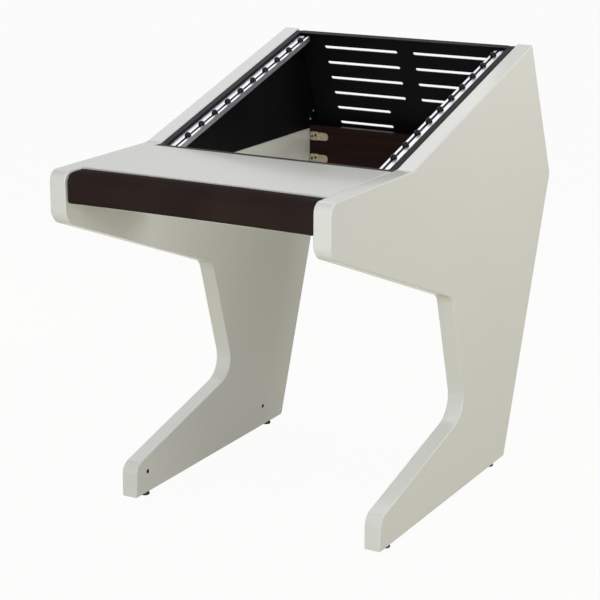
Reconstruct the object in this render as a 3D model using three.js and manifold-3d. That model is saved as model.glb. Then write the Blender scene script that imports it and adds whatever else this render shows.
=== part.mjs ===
// Studio desk with a sloping equipment bay: two lacquered side panels, a desktop with a
// padded armrest, a folded steel frame with slotted rails, a vented back, a rear cross
// rail and four levelling glides. Millimetres, +Z up. X runs across the desk and Y from
// its nose to its back. The finished group stands on the floor, under its box's middle.

import * as THREE from 'three';
import { mergeVertices } from 'three/addons/utils/BufferGeometryUtils.js';
import Module from 'manifold-3d';

const wasm = await Module();
wasm.setup();

// Overall sizes, heights taken from the side panels' lower edges
const overallWidth = 600;
const overallDepth = 1033;
const topHeight = 897;
const bayRise = 169;
const glideStand = 13;
const armHeight = topHeight - bayRise;

// Side panels: the corners of their outline
const panelThickness = 36;
const panelArris = 2.2;
const toeFront = 214;
const toeHeight = 68;
const toeRadius = 25;
const kneeDepth = 604;
const kneeHeight = 167.5;
const kneeRadius = 51;
const crotchDepth = 521;
const crotchDrop = 293;
const crotchRadius = 28;
const noseDrop = 98;
const noseUnderRadius = 33;
const noseTopRadius = 20.5;
const slopeFront = 328.5;
const backLean = 130.5;
const backDrop = 297.5;
const heelSetback = 211;
const heelRadius = 6.5;

// Desktop and armrest
const desktopFront = 57.5;
const desktopBack = 305.5;
const desktopThickness = 36;
const desktopArris = 1;
const beamDrop = 62.8;
const padThickness = 12;
const padFront = 1.2;
const padTopDrop = 0.8;
const padTopRadius = 21;
const padUnderRadius = 4;
const padBackRadius = 3;
const padCrown = 1.6;
const padEndRound = 7;
const padEndShare = 0.3;

// Folded steel frame of the bay
const sheet = 2;
const flangeWidth = 13.5;
const linerDrop = 66;
const ventInset = 10;
const ventSheet = 3;
const ventTabWidth = 24;
const ventFootDrop = 26;
const ventLipHeight = 15;
const ventSlotHeight = 7.8;
const ventFirstSlot = 36;
const ventLastSlot = 8.4;
const ventLongRows = 4;
const ventShortRows = 2;
const ventSlotMargin = 50.2;
const ventSlotInner = 19;
const ventShortSlotInner = 64;

// Slotted rails and the screws in them
const railDrop = 5.5;
const railHeight = 11;
const railInnerLip = 5.3;
const railOuterLip = 14.25;
const railSlotWidth = 6.2;
const railLipThickness = 2;
const railChannelWidth = 11;
const railChannelHeight = 5;
const railEndMargin = 2.5;
const railTopMargin = 25.4;
const nutStripThickness = 3;
const rackScrewCount = 10;
const rackScrewFirst = 52;
const rackScrewLast = 30.5;
const rackScrewHeadRadius = 6.1;
const rackScrewHeadHeight = 6.2;
const rackScrewRadius = 2.5;
const rackScrewLength = 6;

// Rear cross rail and its connectors
const crossRailInset = 49.95;
const crossRailThickness = 18;
const crossRailDrop = 229;
const crossRailHeight = 100;
const connectorReach = 47;
const connectorPlateWidth = 28;
const connectorPlateHeight = 18;
const connectorLobeWidth = 19;
const connectorLobeHeight = 20;
const connectorThickness = 2.4;
const connectorPlateRise = 0.7;
const connectorHollow = 1;
const connectorRim = 2.2;
const connectorPlugRadius = 7.5;
const connectorPlugDepth = 14;
const connectorSpacing = 52;
const connectorBoltRadius = 3;
const connectorBoltLength = 47;
const boltInPanel = 12;

// Levelling glides, and the bushes in the panels
const glideToeInset = 56;
const glideHeelInset = 42;
const glidePadRadius = 10;
const glidePadTopRadius = 8;
const glidePadHeight = 7;
const glideStemRadius = 4;
const glideStemLength = 38;
const glideNutRadius = 7;
const glideBushRadius = 6;
const glideBushLength = 25;
const footBushRadius = 4.8;
const footBushBore = 2.9;
const footBushLength = 15;
const footBushHeight = 46;
const footBushToeInset = 42;
const footBushHeelInset = 88.5;

// Steel angles under the desktop's ends
const angleReach = 30;
const angleSheet = 3;
const angleHoleRadius = 2.6;
const angleFrontGap = 16;
const angleBackGap = 12;

// Crossed recess of the rack screws
const recessWidth = 1.1;
const recessDepth = 1.5;

// Clearances and facets
const seatGap = 0.3;
const overrun = 6;
const arcSag = 0.16;
const holeSides = 12;
const roundSides = 18;
const nutSides = 6;
const padSteps = 22;

// Places worked out from the sizes above
const panelHalf = overallWidth / 2;
const innerHalf = panelHalf - panelThickness;
const sides = [-1, 1];
const slopeBack = overallDepth - backLean;
const slopeRun = slopeBack - slopeFront;
const slopeLength = Math.hypot(slopeRun, bayRise);
const slopeAngle = Math.atan2(bayRise, slopeRun);
const backAngle = Math.atan2(backDrop, backLean);
const heelDepth = overallDepth - heelSetback;
const beamUnderHeight = armHeight - beamDrop;
const linerUnderHeight = armHeight - linerDrop;
const crossRailTop = topHeight - crossRailDrop;
const crossRailFace = slopeBack + crossRailDrop / Math.tan(backAngle) - crossRailInset;
const crossRailBehind = crossRailFace + crossRailThickness + seatGap;
const ventFootUnder = crossRailTop - ventFootDrop;
const railTopEnd = slopeLength - railTopMargin;
const frameHalf = innerHalf - seatGap;
const flangeHalf = frameHalf - flangeWidth;
const wallHalf = frameHalf - sheet;
const ventInner = ventInset + ventSheet;

// The two columns of rack screws stand 465.1 mm apart, as rack equipment needs
const columnHalf = flangeHalf - seatGap - railOuterLip - railSlotWidth / 2;
const railInnerHalf = columnHalf - railSlotWidth / 2 - railInnerLip;

const across = new THREE.Vector3(1, 0, 0);
const inward = new THREE.Vector3(0, 1, 0);
const upward = new THREE.Vector3(0, 0, 1);
const lathedAxis = new THREE.Vector3(0, 1, 0);

// A point of the sloping edge, as depth and height: so far up the slope, so far above it.
function slopePoint(along, above) {
  return [
    slopeFront + along * Math.cos(slopeAngle) - above * Math.sin(slopeAngle),
    armHeight + along * Math.sin(slopeAngle) + above * Math.cos(slopeAngle),
  ];
}

// A point of the upper back edge: so far down it, so far inside it.
function backPoint(along, inside) {
  return [
    slopeBack + along * Math.cos(backAngle) - inside * Math.sin(backAngle),
    topHeight - along * Math.sin(backAngle) - inside * Math.cos(backAngle),
  ];
}

// How far up the slope a line lies that runs so far inside the upper back edge.
function slopeReach(inside, above) {
  const corner = slopeAngle + backAngle;
  return slopeLength - inside / Math.sin(corner) + above / Math.tan(corner);
}

// How far down the back edge a line lies that has the given height.
function backReach(height, inside) {
  return (topHeight - height - inside * Math.cos(backAngle)) / Math.sin(backAngle);
}

// Closed outline with rounded corners; a corner is [across, up, radius].
function roundedShape(corners) {
  const points = [];
  corners.forEach(([x, y, radius = 0], index) => {
    const corner = new THREE.Vector2(x, y);
    if (radius === 0) {
      points.push(corner);
      return;
    }
    const [beforeX, beforeY] = corners.at(index - 1);
    const [afterX, afterY] = corners[(index + 1) % corners.length];
    const toBefore = new THREE.Vector2(beforeX, beforeY).sub(corner).normalize();
    const toAfter = new THREE.Vector2(afterX, afterY).sub(corner).normalize();
    const halfAngle = toBefore.angleTo(toAfter) / 2;
    const toCentre = toBefore.clone().add(toAfter).setLength(radius / Math.sin(halfAngle));
    const centre = corner.clone().add(toCentre);
    const start = corner.clone().addScaledVector(toBefore, radius / Math.tan(halfAngle));
    const turn = Math.sign(toAfter.cross(toBefore)) * (Math.PI - 2 * halfAngle);
    const steps = Math.ceil(Math.abs(turn) / (2 * Math.acos(1 - arcSag / radius)));
    for (let step = 0; step <= steps; step += 1) {
      points.push(start.clone().rotateAround(centre, (turn * step) / steps));
    }
  });
  return new THREE.Shape(points);
}

// Extrudes an outline of depth and height across the desk, with an optional arris.
function sideExtrude(shape, from, to, arris = 0) {
  const geometry = new THREE.ExtrudeGeometry(shape, {
    depth: to - from - 2 * arris,
    bevelEnabled: arris > 0,
    bevelThickness: arris,
    bevelSize: arris,
    bevelOffset: -arris,
    bevelSegments: 1,
  });
  geometry.translate(0, 0, from + arris);
  return geometry.applyMatrix4(new THREE.Matrix4().makeBasis(inward, upward, across));
}

// The same between two distances from the middle, on one side of the desk.
function sideBand(corners, side, near, far, arris = 0) {
  const from = Math.min(side * near, side * far);
  const to = Math.max(side * near, side * far);
  return sideExtrude(roundedShape(corners), from, to, arris);
}

function box(lowest, highest) {
  const size = highest.map((value, index) => value - lowest[index]);
  const geometry = new THREE.BoxGeometry(...size);
  return geometry.translate(...lowest.map((value, index) => value + size[index] / 2));
}

// Places a shape made along the lathe's axis: its zero at a point, its axis along a line.
function placed(geometry, start, direction) {
  const turn = new THREE.Quaternion().setFromUnitVectors(lathedAxis, direction);
  return geometry.applyQuaternion(turn).translate(...start);
}

function rod(radius, length, start, direction, facets = holeSides) {
  const geometry = new THREE.CylinderGeometry(radius, radius, length, facets);
  return placed(geometry.translate(0, length / 2, 0), start, direction);
}

// Turned piece from [radius, along] points, which start and end on the axis.
function turned(points, start, direction, facets = holeSides) {
  const profile = points.map(([radius, along]) => new THREE.Vector2(radius, along));
  return placed(new THREE.LatheGeometry(profile, facets), start, direction);
}

// Closed body for cutting and joining; triangles without area are left out.
function solidOf(geometry) {
  const bare = geometry.clone();
  bare.deleteAttribute('normal');
  bare.deleteAttribute('uv');
  const merged = mergeVertices(bare);
  const triangles = [];
  const index = merged.index.array;
  for (let corner = 0; corner < index.length; corner += 3) {
    const [a, b, c] = index.subarray(corner, corner + 3);
    if (a !== b && b !== c && c !== a) {
      triangles.push(a, b, c);
    }
  }
  return new wasm.Manifold(new wasm.Mesh({
    numProp: 3,
    vertProperties: new Float32Array(merged.attributes.position.array),
    triVerts: new Uint32Array(triangles),
  }));
}

function geometryOf(solid) {
  const { vertProperties, triVerts } = solid.getMesh();
  const geometry = new THREE.BufferGeometry();
  geometry.setAttribute('position', new THREE.BufferAttribute(vertProperties, 3));
  geometry.setIndex(new THREE.BufferAttribute(triVerts, 1));
  geometry.computeVertexNormals();
  return geometry;
}

function clean(geometry) {
  return geometryOf(solidOf(geometry));
}

function joined(geometries) {
  return geometryOf(geometries.map(solidOf).reduce((whole, piece) => whole.add(piece)));
}

function cut(geometry, tools) {
  const remains = (whole, tool) => whole.subtract(solidOf(tool));
  return geometryOf(tools.reduce(remains, solidOf(geometry)));
}

function finish(color, roughness, metalness = 0) {
  return () => new THREE.MeshStandardMaterial({ color, roughness, metalness });
}

const whiteLacquer = finish(0xdedcd4, 0.12);
const brownLeather = finish(0x2a2020, 0.5);
const brownBoard = finish(0x221614, 0.45);
const blackSteel = finish(0x17181a, 0.42, 0.3);
const railAluminium = finish(0xd6d8da, 0.3, 0.9);
const blackScrew = finish(0x101011, 0.35, 0.7);
const zincSteel = finish(0xb9bbbd, 0.35, 0.9);
const darkBush = finish(0x3a3a36, 0.5, 0.4);
const nickel = finish(0xb7ad94, 0.3, 0.85);
const blackPlastic = finish(0x161616, 0.55);

const desk = new THREE.Group();
desk.position.set(0, -overallDepth / 2, glideStand);

function addPiece(name, geometry, material, parent = desk) {
  const mesh = new THREE.Mesh(geometry, material());
  mesh.name = name;
  parent.add(mesh);
  return mesh;
}

function sideName(side) {
  return side < 0 ? 'left' : 'right';
}

// Screws: a turned pan head and shank with a crossed recess. The head's seat is at zero.
function crossRecess(headHeight, reach) {
  const floor = headHeight - recessDepth;
  const top = headHeight + overrun;
  return [
    box([-reach, floor, -recessWidth / 2], [reach, top, recessWidth / 2]),
    box([-recessWidth / 2, floor, -reach], [recessWidth / 2, top, reach]),
  ];
}

const recessShare = 0.5;
const headCrownShare = 0.72;
const headShoulderShare = 0.55;

function panScrew(radius, length, headRadius, headHeight, start, direction) {
  const body = turned([
    [0, -length],
    [radius, -length],
    [radius, 0],
    [headRadius, 0],
    [headRadius, headHeight * headShoulderShare],
    [headRadius * headCrownShare, headHeight],
    [0, headHeight],
  ], [0, 0, 0], lathedAxis);
  return placed(cut(body, crossRecess(headHeight, headRadius * recessShare)), start, direction);
}

// Places that more than one piece shares
const desktopUnder = armHeight - desktopThickness;
const beamFront = padFront + padThickness;
const beamBack = desktopFront - seatGap;
const beamTop = armHeight - padTopDrop - padThickness - seatGap;
const crossRailMiddle = crossRailFace + crossRailThickness / 2;
const connectorMiddle = crossRailTop - crossRailHeight / 2;
const connectorHeights = sides.map((end) => connectorMiddle + (end * connectorSpacing) / 2);
const glideHalf = panelHalf - panelThickness / 2;
const glidePlaces = sides.flatMap((side) => [
  { name: `front_${sideName(side)}`, x: side * glideHalf, y: toeFront + glideToeInset },
  { name: `rear_${sideName(side)}`, x: side * glideHalf, y: heelDepth - glideHeelInset },
]);
const footBushDepths = {
  front: toeFront + footBushToeInset,
  rear: heelDepth - footBushHeelInset,
};

// Side panels: thick lacquered boards with blind holes for the bushes and the bolts
function panelOutline() {
  return [
    [toeFront, 0],
    [toeFront, toeHeight, toeRadius],
    [kneeDepth, kneeHeight, kneeRadius],
    [crotchDepth, armHeight - crotchDrop, crotchRadius],
    [0, armHeight - noseDrop, noseUnderRadius],
    [0, armHeight, noseTopRadius],
    [slopeFront, armHeight],
    [slopeBack, topHeight],
    [overallDepth, topHeight - backDrop],
    [heelDepth, 0, heelRadius],
  ];
}

function innerFaceHole(side, [depth, height], radius, holeDepth) {
  const start = [side * (innerHalf - overrun), depth, height];
  const outward = across.clone().multiplyScalar(side);
  return rod(radius + seatGap, holeDepth + seatGap + overrun, start, outward);
}

function panelHoles(side) {
  const bushHoles = Object.values(footBushDepths).map((depth) => (
    innerFaceHole(side, [depth, footBushHeight], footBushRadius, footBushLength)));
  const connectorHoles = connectorHeights.map((height) => (
    innerFaceHole(side, [crossRailMiddle, height], connectorBoltRadius, boltInPanel)));
  const glideHoles = glidePlaces.filter(({ x }) => x * side > 0).map(({ x, y }) => (
    rod(glideBushRadius + seatGap, glideStemLength + overrun, [x, y, -overrun], upward)));
  return [...bushHoles, ...connectorHoles, ...glideHoles];
}

sides.forEach((side) => {
  const board = sideBand(panelOutline(), side, innerHalf, panelHalf, panelArris);
  addPiece(`side_panel_${sideName(side)}`, cut(board, panelHoles(side)), whiteLacquer);
});

// Desktop: a lacquered board between the panels, on a steel angle at each end
addPiece('desktop', sideBand([
  [desktopFront, desktopUnder],
  [desktopFront, armHeight],
  [desktopBack, armHeight],
  [desktopBack, desktopUnder],
], 1, -innerHalf + seatGap, innerHalf - seatGap, desktopArris), whiteLacquer);

const angleHoleShares = [0.12, 0.5, 0.88];

function desktopAngle(side) {
  const top = desktopUnder - seatGap;
  const front = desktopFront + angleFrontGap;
  const back = desktopBack - angleBackGap;
  const upright = box(
    [Math.min(side * (frameHalf - angleSheet), side * frameHalf), front, top - angleReach],
    [Math.max(side * (frameHalf - angleSheet), side * frameHalf), back, top],
  );
  const shelf = box(
    [Math.min(side * (frameHalf - angleReach), side * frameHalf), front, top - angleSheet],
    [Math.max(side * (frameHalf - angleReach), side * frameHalf), back, top],
  );
  const middle = (angleReach + angleSheet) / 2;
  const holes = angleHoleShares.flatMap((share) => {
    const depth = front + share * (back - front);
    return [
      rod(angleHoleRadius, 2 * overrun,
        [side * (frameHalf - angleSheet) - overrun, depth, top - middle], across),
      rod(angleHoleRadius, 2 * overrun,
        [side * (frameHalf - middle), depth, top - angleSheet - overrun], upward),
    ];
  });
  return cut(joined([upright, shelf]), holes);
}

sides.forEach((side) => {
  addPiece(`desktop_angle_${sideName(side)}`, desktopAngle(side), blackSteel);
});

// Armrest beam: the timber behind the padding, hidden by it from the front and above
addPiece('armrest_beam', sideBand([
  [beamFront, beamUnderHeight],
  [beamFront, beamTop],
  [beamBack, beamTop],
  [beamBack, beamUnderHeight],
], 1, -innerHalf + seatGap, innerHalf - seatGap), whiteLacquer);

// Armrest pad: foam and leather wrapped over the beam, crowned, with rounded ends
function padOutline() {
  const top = armHeight - padTopDrop;
  return [
    [beamFront - seatGap, beamUnderHeight],
    [padFront, beamUnderHeight, padUnderRadius],
    [padFront, top, padTopRadius],
    [desktopFront - seatGap, top, padBackRadius],
    [desktopFront - seatGap, beamTop + seatGap],
    [beamFront - seatGap, beamTop + seatGap],
  ];
}

const padSliceCount = 5;

// Adds points along the long straight runs, so that the crown has something to bend.
function divided(points) {
  return points.flatMap((point, index) => {
    const next = points[(index + 1) % points.length];
    const slices = point.distanceTo(next) > padTopRadius ? padSliceCount : 1;
    return Array.from({ length: slices }, (_, slice) => point.clone().lerp(next, slice / slices));
  });
}

function armrestPad() {
  const halfWidth = innerHalf - seatGap;
  const shape = new THREE.Shape(divided(roundedShape(padOutline()).getPoints()));
  const geometry = new THREE.ExtrudeGeometry(shape, {
    depth: 2 * halfWidth,
    steps: padSteps,
    bevelEnabled: false,
  });
  geometry.translate(0, 0, -halfWidth);
  geometry.applyMatrix4(new THREE.Matrix4().makeBasis(inward, upward, across));
  const backFace = beamFront - seatGap;
  const topFace = beamTop + seatGap;
  const place = geometry.attributes.position;
  for (let index = 0; index < place.count; index += 1) {
    const x = halfWidth * Math.sin((place.getX(index) / halfWidth) * (Math.PI / 2));
    const y = place.getY(index);
    const z = place.getZ(index);
    const seatY = Math.max(y, backFace);
    const seatZ = Math.min(z, topFace);
    const intoEnd = Math.max(0, 1 - (halfWidth - Math.abs(x)) / padEndRound);
    const endScale = 1 - padEndShare * (1 - Math.sqrt(1 - intoEnd * intoEnd));
    const upShare = THREE.MathUtils.clamp(
      (z - beamUnderHeight) / (topFace - beamUnderHeight), 0, 1);
    const hollow = padCrown * (2 * upShare - 1) ** 2 * (z > topFace ? 0 : 1);
    const outY = (y - seatY) * endScale;
    const crowned = outY + hollow * Math.min(1, (seatY - y) / padThickness);
    place.setXYZ(index, x, seatY + crowned, seatZ + (z - seatZ) * endScale);
  }
  return clean(geometry);
}

addPiece('armrest_pad', armrestPad(), brownLeather);

// Steel liners: a wall, a flange flush with the panel's edge, a web and the rails' seat
const seatDrop = railDrop + railHeight + seatGap;

function topBand(drop, start, reach) {
  return [
    [start, armHeight],
    [slopeFront, armHeight],
    slopePoint(reach, 0),
    slopePoint(reach, -drop),
    slopePoint(-drop * Math.tan(slopeAngle / 2), -drop),
    [start, armHeight - drop],
  ];
}

function slopeBand(high, low, start, end) {
  return [
    slopePoint(start, -low),
    slopePoint(start, -high),
    slopePoint(end, -high),
    slopePoint(end, -low),
  ];
}

function linerWallOutline() {
  const start = desktopBack + seatGap;
  const stop = crossRailFace - seatGap;
  const step = crossRailTop + seatGap;
  return [
    [start, linerUnderHeight],
    [start, armHeight],
    [slopeFront, armHeight],
    slopePoint(slopeReach(ventInset, 0), 0),
    backPoint(backReach(ventFootUnder, ventInset), ventInset),
    [crossRailBehind, ventFootUnder],
    [crossRailBehind, step],
    [stop, step],
    [stop, linerUnderHeight],
  ];
}

function liner(side) {
  const start = desktopBack + seatGap;
  const reach = slopeReach(ventInset, 0) - sheet;
  const wall = sideBand(linerWallOutline(), side, wallHalf, frameHalf);
  const flange = sideBand(topBand(sheet, start, reach), side, flangeHalf, frameHalf);
  const web = sideBand(slopeBand(0, seatDrop + sheet, 0, railTopEnd), side,
    flangeHalf, flangeHalf + sheet);
  const seat = sideBand(slopeBand(seatDrop, seatDrop + sheet, 0, railTopEnd), side,
    railInnerHalf, flangeHalf + sheet);
  return joined([wall, flange, web, seat]);
}

sides.forEach((side) => {
  addPiece(`rack_liner_${sideName(side)}`, liner(side), blackSteel);
});

// Front plate: folded steel on the desktop's rear edge, its flange flush with the top
const plateStart = desktopBack + seatGap;
addPiece('rack_front_plate', sideBand([
  [plateStart, linerUnderHeight],
  [plateStart, armHeight],
  [plateStart + flangeWidth, armHeight],
  [plateStart + flangeWidth, armHeight - sheet],
  [plateStart + sheet, armHeight - sheet],
  [plateStart + sheet, linerUnderHeight],
], 1, -flangeHalf + seatGap, flangeHalf - seatGap), blackSteel);

// Vent panel: slotted sheet with side tabs and a top flange, hooked behind the cross rail
const ventReach = backReach(crossRailTop, ventInner);
const ventRowCount = ventLongRows + ventShortRows;
const ventSlotPitch = (ventReach - ventFirstSlot - ventLastSlot) / (ventRowCount - 1);

function ventSlot(row, side) {
  const isShort = row >= ventLongRows;
  const near = isShort ? ventShortSlotInner : ventSlotInner;
  const far = flangeHalf - ventSlotMargin;
  const radius = ventSlotHeight / 2;
  const down = ventFirstSlot + row * ventSlotPitch;
  const slot = new THREE.ExtrudeGeometry(roundedShape([
    [near, down - radius, radius],
    [far, down - radius, radius],
    [far, down + radius, radius],
    [near, down + radius, radius],
  ]), { depth: 2 * overrun, bevelEnabled: false });
  slot.translate(side < 0 ? -near - far : 0, 0, -ventInset - overrun);
  const frame = new THREE.Matrix4().makeBasis(
    across,
    new THREE.Vector3(0, Math.cos(backAngle), -Math.sin(backAngle)),
    new THREE.Vector3(0, Math.sin(backAngle), Math.cos(backAngle)),
  );
  frame.setPosition(0, slopeBack, topHeight);
  return slot.applyMatrix4(frame);
}

function ventPanel() {
  const outer = wallHalf - seatGap;
  const wingDrop = sheet + seatGap;
  const wingTop = slopePoint(slopeReach(ventInset, -wingDrop), -wingDrop);
  const footTop = ventFootUnder + ventSheet;
  const lipTop = ventFootUnder + ventLipHeight;
  const skin = sideBand([
    wingTop,
    backPoint(backReach(ventFootUnder, ventInset), ventInset),
    [crossRailBehind, ventFootUnder],
    [crossRailBehind, lipTop],
    [crossRailBehind + ventSheet, lipTop],
    [crossRailBehind + ventSheet, footTop],
    backPoint(backReach(footTop, ventInner), ventInner),
    slopePoint(slopeReach(ventInner, -wingDrop), -wingDrop),
  ], 1, -outer, outer);
  const topReach = slopeReach(ventInset, 0);
  const head = sideBand([
    slopePoint(topReach, 0),
    backPoint(flangeWidth, ventInset),
    backPoint(flangeWidth, ventInner),
    slopePoint(slopeReach(ventInner, -ventSheet), -ventSheet),
    slopePoint(topReach - flangeWidth, -ventSheet),
    slopePoint(topReach - flangeWidth, 0),
  ], 1, -flangeHalf + seatGap, flangeHalf - seatGap);
  const tabInner = ventInner + ventTabWidth;
  const tabs = sides.map((side) => sideBand([
    wingTop,
    backPoint(ventReach, ventInset),
    backPoint(ventReach - ventTabWidth, tabInner),
    slopePoint(slopeReach(tabInner, -wingDrop), -wingDrop),
  ], side, outer - ventSheet, outer));
  const rows = Array.from({ length: ventRowCount }, (_, row) => row);
  const slots = rows.flatMap((row) => sides.map((side) => ventSlot(row, side)));
  return cut(joined([skin, head, ...tabs]), slots);
}

addPiece('vent_panel', ventPanel(), blackSteel);

// Sloping bay: rails, nut strips and rack screws lie in the slope's own frame
const bay = new THREE.Group();
bay.position.set(0, slopeFront, armHeight);
bay.rotation.x = slopeAngle;
desk.add(bay);

const alongSlope = new THREE.Vector3(0, 1, 0);
const railTop = -railDrop;
const channelTop = railTop - railLipThickness;
const channelFloor = channelTop - railChannelHeight;
const railUnder = railTop - railHeight;
const railStart = railEndMargin;
const railEnd = railTopEnd - railEndMargin;
const stripTop = channelTop - seatGap;
const rackScrewReach = railTopEnd - rackScrewLast - rackScrewFirst;
const rackScrewPlaces = Array.from({ length: rackScrewCount }, (_, index) => (
  rackScrewFirst + (index * rackScrewReach) / (rackScrewCount - 1)));

// Extrudes an outline of width and height along the slope, in the given number of steps.
function slopeExtrude(corners, from, to, steps) {
  const shape = roundedShape(corners.map(([x, z]) => [-x, z]));
  const geometry = new THREE.ExtrudeGeometry(shape, {
    depth: to - from,
    steps,
    bevelEnabled: false,
  });
  geometry.translate(0, 0, from);
  return geometry.applyMatrix4(new THREE.Matrix4().makeBasis(
    across.clone().negate(), upward, alongSlope));
}

function rail(side) {
  const near = side * railInnerHalf;
  const far = side * (flangeHalf - seatGap);
  const slotNear = side * (columnHalf - railSlotWidth / 2);
  const slotFar = side * (columnHalf + railSlotWidth / 2);
  const channelNear = side * (columnHalf - railChannelWidth / 2);
  const channelFar = side * (columnHalf + railChannelWidth / 2);
  const section = [
    [near, railUnder], [near, railTop], [slotNear, railTop], [slotNear, channelTop],
    [channelNear, channelTop], [channelNear, channelFloor], [channelFar, channelFloor],
    [channelFar, channelTop], [slotFar, channelTop], [slotFar, railTop],
    [far, railTop], [far, railUnder],
  ];
  return clean(slopeExtrude(section, railStart, railEnd, 2 * rackScrewCount));
}

function nutStrip(side) {
  const half = railChannelWidth / 2 - seatGap;
  const strip = box(
    [side * columnHalf - half, railStart, stripTop - nutStripThickness],
    [side * columnHalf + half, railEnd, stripTop],
  );
  return cut(strip, rackScrewPlaces.map((along) => (
    rod(rackScrewRadius + seatGap, 2 * overrun,
      [side * columnHalf, along, stripTop - overrun], upward))));
}

function rackScrew(side, along) {
  const start = [side * columnHalf, along, railTop + seatGap];
  return panScrew(rackScrewRadius, rackScrewLength, rackScrewHeadRadius, rackScrewHeadHeight,
    start, upward);
}

sides.forEach((side) => {
  const name = sideName(side);
  addPiece(`rack_rail_${name}`, rail(side), railAluminium, bay);
  addPiece(`nut_strip_${name}`, nutStrip(side), blackSteel, bay);
  rackScrewPlaces.forEach((along, index) => {
    addPiece(`rack_screw_${name}_${index + 1}`, rackScrew(side, along), blackScrew, bay);
  });
});

// Rear cross rail: a dark board between the panels, bored at its ends and pocketed
const connectorEnd = innerHalf - seatGap - sheet;
const plateInner = connectorEnd - connectorReach;
const plateOuter = plateInner + connectorPlateWidth;
const plateMiddle = (plateInner + plateOuter) / 2;
const lobeMiddle = connectorEnd - connectorLobeWidth / 2;

function crossRail() {
  const top = crossRailTop;
  const board = box(
    [-innerHalf + seatGap, crossRailFace, top - crossRailHeight],
    [innerHalf - seatGap, crossRailFace + crossRailThickness, top],
  );
  const pockets = sides.flatMap((side) => connectorHeights.flatMap((height) => [
    rod(connectorPlugRadius + seatGap, connectorPlugDepth + seatGap + overrun,
      [side * plateMiddle, crossRailFace - overrun, height], inward, roundSides),
    rod(connectorBoltRadius + seatGap, connectorBoltLength - boltInPanel + overrun,
      [side * (innerHalf + overrun), crossRailMiddle, height],
      across.clone().multiplyScalar(-side)),
  ]));
  return cut(board, pockets);
}

// Connectors: nickelled housings with a screwed lobe and a rimmed plate
const connectorHoleRadius = 1.8;
const connectorSinkRadius = 3.1;
const connectorSinkDepth = 1.2;
const connectorScrewShares = [-0.24, 0.24];
const connectorScrewRise = 2.8;
const connectorCorner = 5;
const connectorPlateCorner = 7.6;

function connectorScrewPlaces(side, height) {
  return connectorScrewShares.map((share) => [
    side * (lobeMiddle + share * connectorLobeWidth),
    crossRailFace - overrun,
    height - Math.sign(share) * connectorScrewRise / 2,
  ]);
}

// Outline of a fitting between two distances from the middle, with its corner radius.
function fittingPlan(side, height, half, outer, inner, corner) {
  return roundedShape([
    [side * outer, height - half, corner],
    [side * outer, height + half, corner],
    [side * inner, height + half, corner],
    [side * inner, height - half, corner],
  ]);
}

// Extrudes a fitting's outline forwards, between two distances in front of the board.
function fittingPlate(shape, from, to) {
  const geometry = new THREE.ExtrudeGeometry(shape, { depth: to - from, bevelEnabled: false });
  geometry.translate(0, 0, from - crossRailFace);
  return geometry.applyMatrix4(new THREE.Matrix4().makeBasis(
    across, upward, inward.clone().negate()));
}

function connectorHousing(side, height) {
  const front = seatGap + connectorThickness;
  const plateFront = front + connectorPlateRise;
  const lobePlan = fittingPlan(side, height, connectorLobeHeight / 2,
    connectorEnd, connectorEnd - connectorLobeWidth - connectorCorner, connectorCorner);
  const platePlan = fittingPlan(side, height, connectorPlateHeight / 2,
    plateOuter, plateInner, connectorPlateCorner);
  const hollowPlan = fittingPlan(side, height, connectorPlateHeight / 2 - connectorRim,
    plateOuter - connectorRim, plateInner + connectorRim, connectorPlateCorner - connectorRim);
  const plug = rod(connectorPlugRadius, connectorPlugDepth + overrun / 2,
    [side * plateMiddle, crossRailFace + connectorPlugDepth, height],
    inward.clone().negate(), roundSides);
  const hollow = fittingPlate(hollowPlan, plateFront - connectorHollow, plateFront + overrun);
  const boltHole = rod(connectorBoltRadius + seatGap, connectorPlugRadius + overrun,
    [side * plateMiddle, crossRailMiddle, height], across.clone().multiplyScalar(side));
  const screwHoles = connectorScrewPlaces(side, height).flatMap(([x, y, z]) => [
    rod(connectorHoleRadius, 2 * overrun, [x, y, z], inward),
    rod(connectorSinkRadius, overrun + connectorSinkDepth,
      [x, crossRailFace - front - overrun, z], inward),
  ]);
  return cut(joined([
    fittingPlate(lobePlan, seatGap, front),
    fittingPlate(platePlan, seatGap, plateFront),
    plug,
  ]), [hollow, boltHole, ...screwHoles]);
}

function connectorBolt(side, height) {
  const start = [side * (innerHalf + boltInPanel), crossRailMiddle, height];
  return rod(connectorBoltRadius, connectorBoltLength, start, across.clone().multiplyScalar(-side));
}

addPiece('cross_rail', crossRail(), brownBoard);
sides.forEach((side) => {
  connectorHeights.forEach((height, index) => {
    const name = `${index === 0 ? 'lower' : 'upper'}_${sideName(side)}`;
    addPiece(`rail_connector_${name}`, connectorHousing(side, height), nickel);
    addPiece(`connector_bolt_${name}`, connectorBolt(side, height), zincSteel);
  });
});

// Levelling glides: a plastic foot on a threaded stem, in a bush in the panel's edge
const glideFloor = -glideStand;
const glideSocket = 3.5;
const glideNutHeight = 2.2;
const glideRim = 1;

glidePlaces.forEach(({ name, x, y }) => {
  const foot = turned([
    [0, 0],
    [glidePadRadius - glideRim, 0],
    [glidePadRadius, glideRim],
    [glidePadRadius, glidePadHeight / 2],
    [glidePadTopRadius, glidePadHeight],
    [0, glidePadHeight],
  ], [x, y, glideFloor], upward, roundSides);
  const socket = rod(glideStemRadius + seatGap, glideSocket + seatGap + overrun,
    [x, y, glideFloor + glidePadHeight - glideSocket - seatGap], upward);
  addPiece(`glide_foot_${name}`, cut(foot, [socket]), blackPlastic);
  const nutSeat = glidePadHeight + seatGap;
  const stem = joined([
    rod(glideStemRadius, glideStemLength, [x, y, glideFloor + glidePadHeight - glideSocket], upward),
    rod(glideNutRadius, glideNutHeight, [x, y, glideFloor + nutSeat], upward, nutSides),
  ]);
  addPiece(`glide_stem_${name}`, stem, zincSteel);
});

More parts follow.
